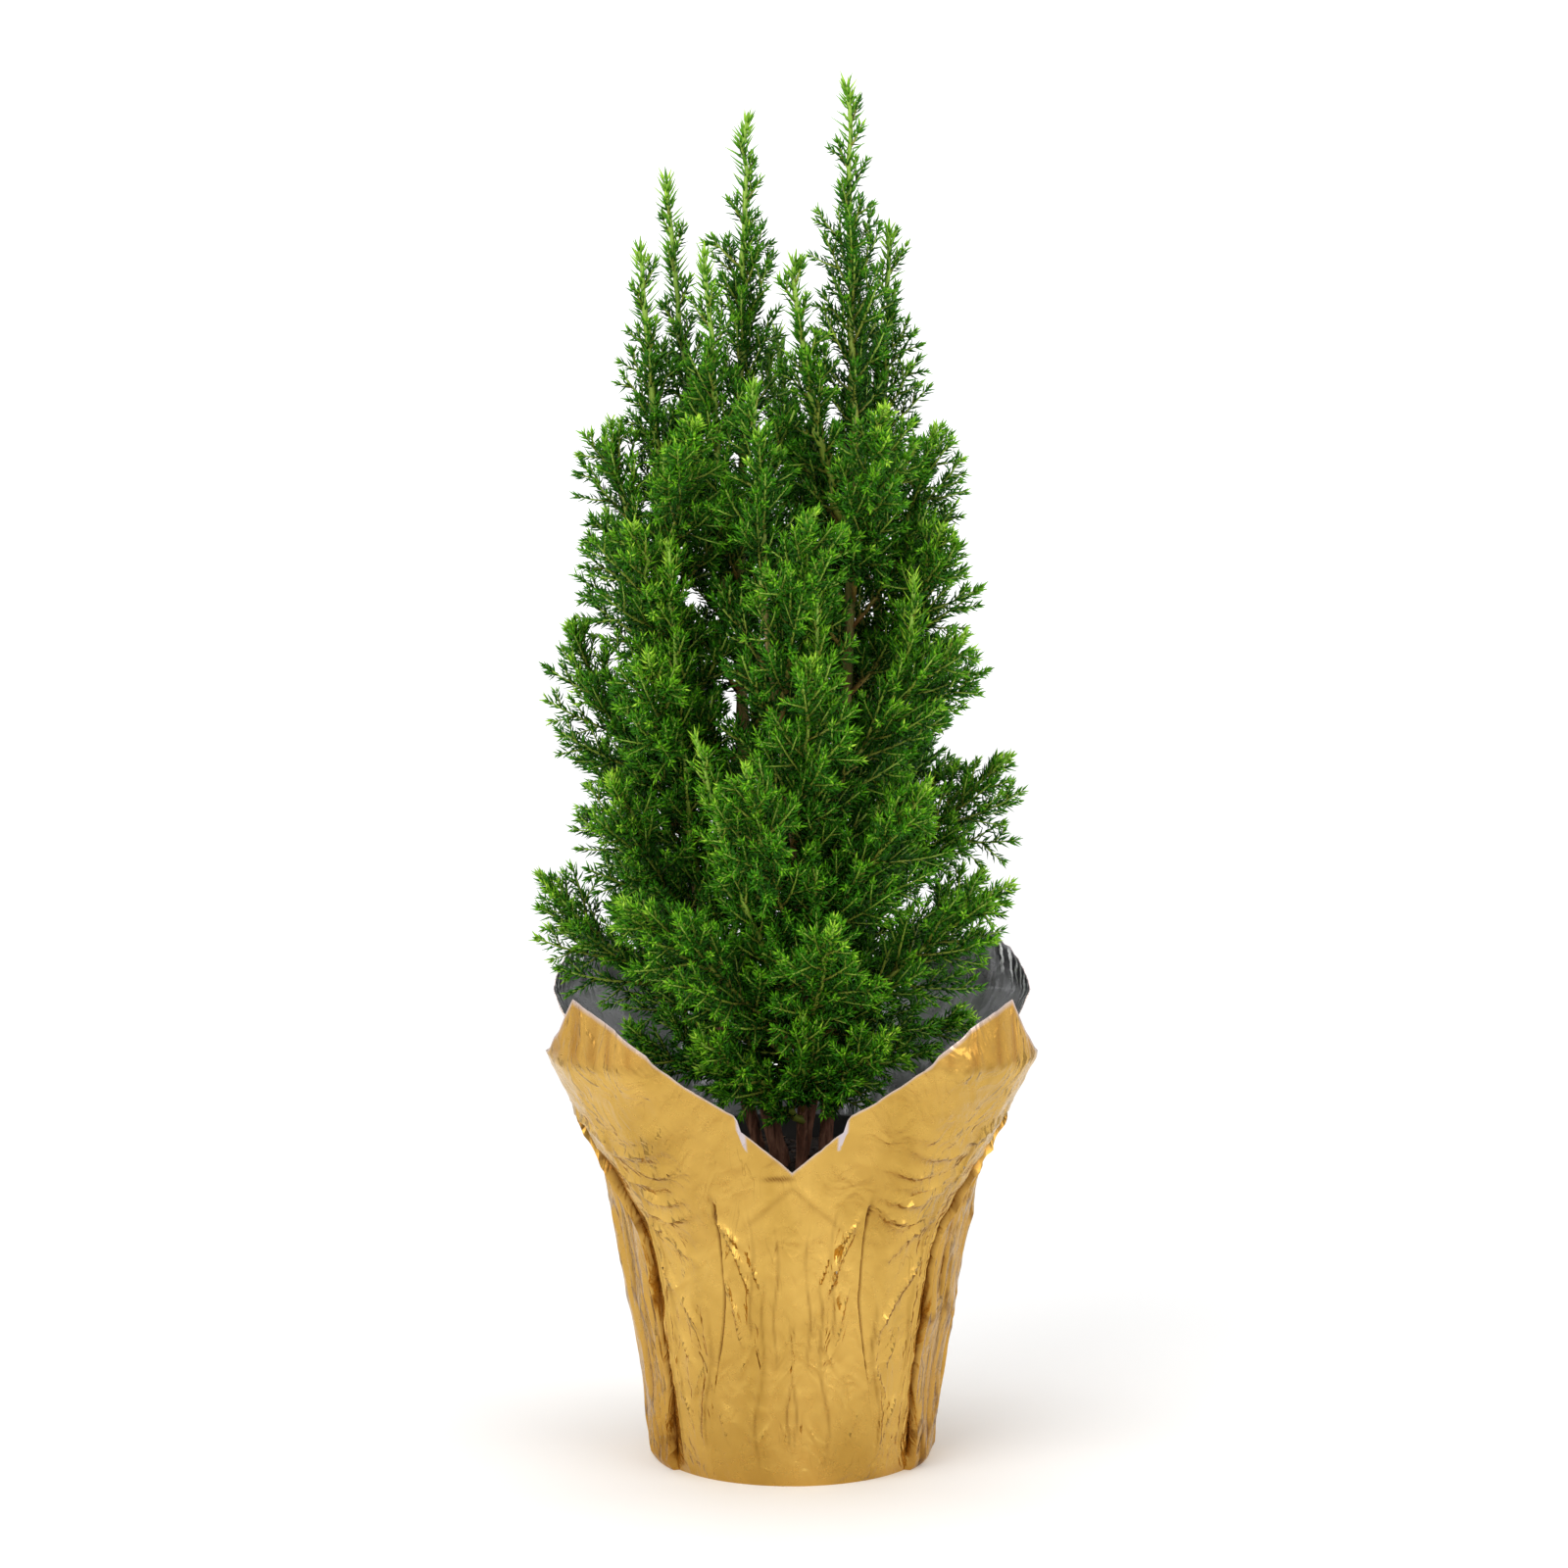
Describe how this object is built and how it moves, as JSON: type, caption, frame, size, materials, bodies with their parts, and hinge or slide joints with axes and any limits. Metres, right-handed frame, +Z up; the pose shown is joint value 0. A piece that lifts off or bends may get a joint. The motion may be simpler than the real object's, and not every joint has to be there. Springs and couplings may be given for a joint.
{
  "type": "potted cypress",
  "caption": "Young upright conifer with needle leaves and several ragged leaders, growing in a plastic nursery pot that stands in a pleated gold foil gift cover with a flared, pointed skirt.",
  "frame": {"origin": "centre of the flat underside of the foil cover's base", "axes": "+Z up along the plant, -Y the front, where a notch in the skirt faces the viewer, +X to the viewer's right"},
  "size_m": [0.1664, 0.161, 0.4599],
  "materials": {
    "gold_foil": "satin gold film on the outside, bright silver on the inside, finely crumpled",
    "black_plastic": "thin moulded black plastic, satin",
    "potting_soil": "damp peat and bark crumbs, matt",
    "bark": "reddish brown, flaking in thin strips",
    "leaf": "waxy needles, fresh green at the tips and dark inside"
  },
  "bodies": {
    "root": {"foil_cover": "gold_foil", "leafy_leader_back": "leaf", "leafy_leader_centre": "leaf", "leafy_leader_front": "leaf", "leafy_leader_left": "leaf", "leafy_leader_left_back": "leaf", "leafy_leader_left_inner": "leaf", "leafy_leader_right": "leaf", "leafy_leader_right_back": "leaf", "leafy_leader_right_inner": "leaf", "leafy_shoot_low_1": "leaf", "leafy_shoot_low_2": "leaf", "leafy_shoot_low_3": "leaf", "leafy_shoot_low_4": "leaf", "leafy_shoot_low_5": "leaf", "leafy_shoot_low_6": "leaf", "leafy_shoot_low_7": "leaf", "leafy_shoot_lower_middle_1": "leaf", "leafy_shoot_lower_middle_2": "leaf", "leafy_shoot_lower_middle_3": "leaf", "leafy_shoot_lower_middle_4": "leaf", "leafy_shoot_lower_middle_5": "leaf", "leafy_shoot_lower_middle_6": "leaf", "leafy_shoot_lower_middle_7": "leaf", "leafy_shoot_middle_1": "leaf", "leafy_shoot_middle_2": "leaf", "leafy_shoot_middle_3": "leaf", "leafy_shoot_middle_4": "leaf", "leafy_shoot_middle_5": "leaf", "leafy_shoot_middle_6": "leaf", "leafy_shoot_middle_7": "leaf", "leafy_shoot_skirt_1": "leaf", "leafy_shoot_skirt_2": "leaf", "leafy_shoot_skirt_3": "leaf", "leafy_shoot_skirt_4": "leaf", "leafy_shoot_skirt_5": "leaf", "leafy_shoot_skirt_6": "leaf", "leafy_shoot_upper_1": "leaf", "leafy_shoot_upper_2": "leaf", "leafy_shoot_upper_3": "leaf", "leafy_shoot_upper_4": "leaf", "leafy_shoot_upper_5": "leaf", "leafy_shoot_upper_6": "leaf", "leafy_shoot_upper_middle_1": "leaf", "leafy_shoot_upper_middle_2": "leaf", "leafy_shoot_upper_middle_3": "leaf", "leafy_shoot_upper_middle_4": "leaf", "leafy_shoot_upper_middle_5": "leaf", "leafy_shoot_upper_middle_6": "leaf", "nursery_pot": "black_plastic", "potting_soil": "potting_soil", "woody_stem_back": "bark", "woody_stem_centre": "bark", "woody_stem_front": "bark", "woody_stem_left": "bark", "woody_stem_right": "bark"}
  },
  "joints": []
}
